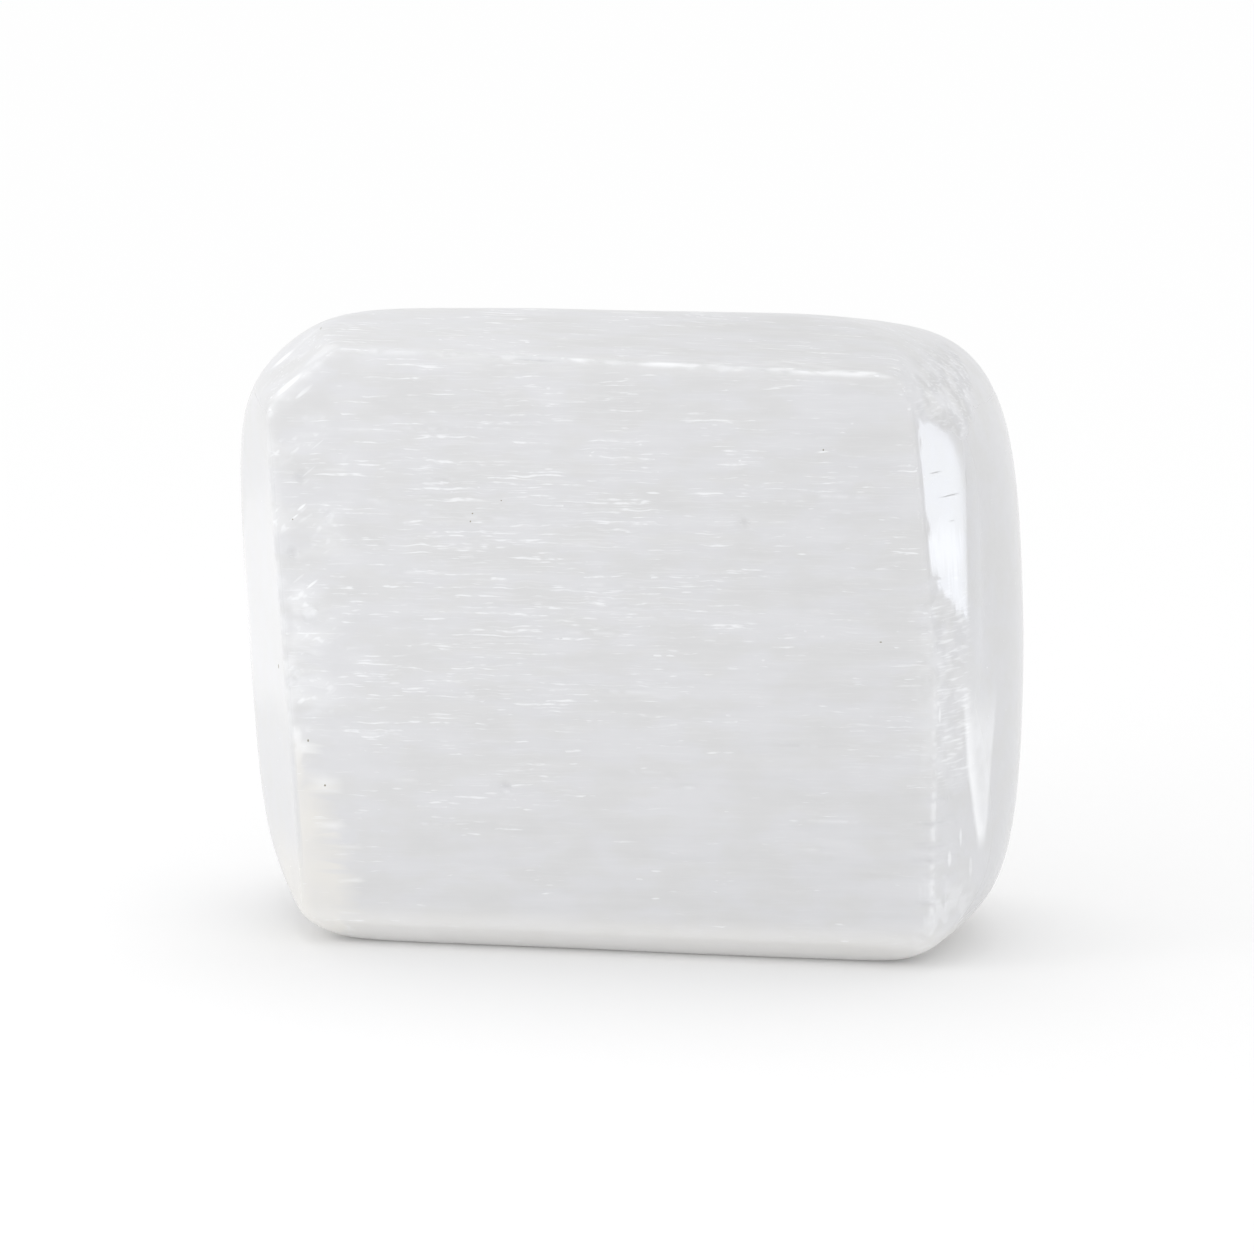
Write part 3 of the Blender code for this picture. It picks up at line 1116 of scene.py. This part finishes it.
def selenite_material(finish, core):
    """Milky fibrous gypsum, white where fibres have split, polished on its bevels."""
    material = bpy.data.materials.new("selenite")
    material.use_nodes = True
    tree = material.node_tree
    shader = tree.nodes["Principled BSDF"]
    stone = StoneTree(tree, core)
    zones = stone.zones

    flecks = strongest(tree, split_fibres(stone), knocks(stone))
    opened_and_lit_crease = maths(tree, "MAXIMUM", zones["fresh_and_lit_crease"], flecks)
    white = maths(tree, "ADD", zones["haze_and_highlight"], opened_and_lit_crease, clamp=True)
    colour = mixed(tree, white, body_colour(stone, finish), finish.fleck)
    colour = mixed(tree, stone.spots(stone.place, SPECKS), colour, finish.speck)
    cracks = stone.spots(stone.aside, turned_spots(CRACKS, "Z", CHAMFER_TURN))
    cracks = product(tree, cracks, zones["polish"])
    dark = tuple(part * 0.6 for part in finish.body)
    colour = mixed(tree, product(tree, cracks, 0.6), colour, dark)
    tree.links.new(colour, shader.inputs["Base Color"])

    grain = product(tree, stone.noise(stone.straight, length=4.0, thickness=0.14), zones["lined"])
    bump = {"Strength": 1.0, "Distance": GRAIN_HEIGHT, "Height": grain}
    bump = add_node(tree, "ShaderNodeBump", bump)
    tree.links.new(bump.outputs["Normal"], shader.inputs["Normal"])
    smooth = ramp(tree, zones["polish"], 0.0, 1.0, finish.satin, finish.polish)
    worn = product(tree, maths(tree, "ADD", zones["dull"], cracks), 0.35)
    rough = total(tree, smooth, product(tree, flecks, 0.2), worn)
    tree.links.new(rough, shader.inputs["Roughness"])

    # A painted glow: emission that lightens the foot of the stone and the floor under it.
    height = add_node(tree, "ShaderNodeSeparateXYZ", {0: stone.place}).outputs["Z"]
    painted_glow = scaled(tree, PAINTED_FOOT_GLOW, ramp(tree, height, -12.0, -13.2))
    tree.links.new(painted_glow, shader.inputs["Emission Color"])
    shader.inputs["Emission Strength"].default_value = PAINTED_FOOT_GLOW_STRENGTH
    material.cycles.emission_sampling = "NONE"

    shader.inputs["IOR"].default_value = GYPSUM_IOR
    shader.inputs["Subsurface Weight"].default_value = finish.glow
    shader.inputs["Subsurface Radius"].default_value = (1.0, 1.0, 1.0)
    shader.inputs["Subsurface Scale"].default_value = LIGHT_DEPTH
    return material


# ---------------------------------------------------------------- operators


class SELENITE_OT_stone(bpy.types.Operator):
    """Build the stone in place of the plain solid"""

    bl_idname = "selenite.stone"
    bl_label = "Build the stone"

    def execute(self, context):
        scene = context.scene
        sizes = scene.selenite_sizes
        grooves = all_grooves()
        data = thinned(stone_shape(sizes, grooves), sizes.triangles)
        data.shade_smooth()
        paint_zones(data, grooves)
        core = fitted(data)
        data.materials.append(selenite_material(scene.selenite_finish, core))
        stone = bpy.data.objects.new("tumbled_selenite", data)
        scene.collection.objects.link(stone)
        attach(stone, "root")
        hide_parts(NODE)
        return {"FINISHED"}


def add_panel_light(name, place, target, size, power, colour=(1, 1, 1)):
    """A soft rectangular light that faces a point."""
    light = bpy.data.lights.new(name, "AREA")
    light.shape = "RECTANGLE"
    light.size, light.size_y = size
    light.energy = power
    light.color = colour
    holder = bpy.data.objects.new(name, light)
    holder.location = place
    holder.rotation_mode = "QUATERNION"
    holder.rotation_quaternion = (Vector(target) - Vector(place)).to_track_quat("-Z", "Y")
    holder.visible_camera = False
    bpy.context.scene.collection.objects.link(holder)
    return holder


class SELENITE_OT_stage(bpy.types.Operator):
    """Lay the floor and set the lights and the camera"""

    bl_idname = "selenite.stage"
    bl_label = "Set the stage"

    def execute(self, context):
        scene = context.scene
        stage = scene.selenite_stage
        self.lay_floor(scene, stage)
        self.light_room(scene, stage)
        self.place_camera(scene, stage)
        return {"FINISHED"}

    def lay_floor(self, scene, stage):
        mesh = bmesh.new()
        bmesh.ops.create_grid(mesh, x_segments=1, y_segments=1, size=FLOOR_REACH)
        data = bpy.data.meshes.new("floor")
        mesh.to_mesh(data)
        mesh.free()
        material = bpy.data.materials.new("white_floor")
        material.use_nodes = True
        shader = material.node_tree.nodes["Principled BSDF"]
        shader.inputs["Base Color"].default_value = (stage.floor, stage.floor, stage.floor, 1)
        shader.inputs["Roughness"].default_value = 1.0
        shader.inputs["Specular IOR Level"].default_value = 0.0
        shader.inputs["Emission Color"].default_value = (1, 1, 1, 1)
        shader.inputs["Emission Strength"].default_value = stage.lift
        data.materials.append(material)
        floor = bpy.data.objects.new("floor", data)
        scene.collection.objects.link(floor)

    def light_room(self, scene, stage):
        world = bpy.data.worlds.new("white_room")
        world.use_nodes = True
        background = world.node_tree.nodes["Background"]
        background.inputs["Color"].default_value = (1, 1, 1, 1)
        background.inputs["Strength"].default_value = stage.room
        scene.world = world
        scene.view_settings.view_transform = "Standard"
        for name, place, target, size, power, colour in MIRRORED_PANELS:
            panel = add_panel_light(name, place, target, size, power, colour)
            panel.visible_diffuse = False
        add_panel_light("left_window", WINDOW_PLACE, WINDOW_TARGET, WINDOW_SIZE, WINDOW_POWER)
        sun = bpy.data.lights.new("soft_sun", "SUN")
        sun.energy = stage.sun
        sun.angle = SUN_SOFTNESS
        holder = bpy.data.objects.new("soft_sun", sun)
        holder.rotation_mode = "QUATERNION"
        holder.rotation_quaternion = Vector(SUN_SIDE).to_track_quat("Z", "Y")
        scene.collection.objects.link(holder)

    def place_camera(self, scene, stage):
        lens = bpy.data.cameras.new("camera")
        lens.lens = stage.lens
        lens.sensor_width = SENSOR_WIDTH
        lens.clip_start = 0.01
        holder = bpy.data.objects.new("camera", lens)
        back = Vector(facing(VIEW_TURN, VIEW_RISE))
        holder.location = Vector(VIEW_TARGET) * MM + back * stage.distance
        holder.rotation_mode = "QUATERNION"
        holder.rotation_quaternion = (-back).to_track_quat("-Z", "Y")
        scene.collection.objects.link(holder)
        scene.camera = holder


class SELENITE_PT_sidebar(bpy.types.Panel):
    """Settings and buttons for the stone and its stage"""

    bl_label = "Tumbled selenite"
    bl_idname = "SELENITE_PT_sidebar"
    bl_space_type = "VIEW_3D"
    bl_region_type = "UI"
    bl_category = "Selenite"

    def draw(self, context):
        layout = self.layout
        for group, operator in (
            (context.scene.selenite_sizes, None),
            (context.scene.selenite_finish, SELENITE_OT_stone.bl_idname),
            (context.scene.selenite_stage, SELENITE_OT_stage.bl_idname),
        ):
            for name in group.bl_rna.properties.keys():
                if name not in ("rna_type", "name"):
                    layout.prop(group, name)
            if operator:
                layout.operator(operator)


CLASSES = (
    StoneSizes,
    StoneFinish,
    StageSettings,
    SELENITE_OT_stone,
    SELENITE_OT_stage,
    SELENITE_PT_sidebar,
)


def register():
    for kind in CLASSES:
        bpy.utils.register_class(kind)
    bpy.types.Scene.selenite_sizes = PointerProperty(type=StoneSizes)
    bpy.types.Scene.selenite_finish = PointerProperty(type=StoneFinish)
    bpy.types.Scene.selenite_stage = PointerProperty(type=StageSettings)


def unregister():
    del bpy.types.Scene.selenite_stage
    del bpy.types.Scene.selenite_finish
    del bpy.types.Scene.selenite_sizes
    for kind in reversed(CLASSES):
        bpy.utils.unregister_class(kind)


def main():
    register()
    bpy.ops.selenite.stone()
    bpy.ops.selenite.stage()


if __name__ == "__main__":
    main()
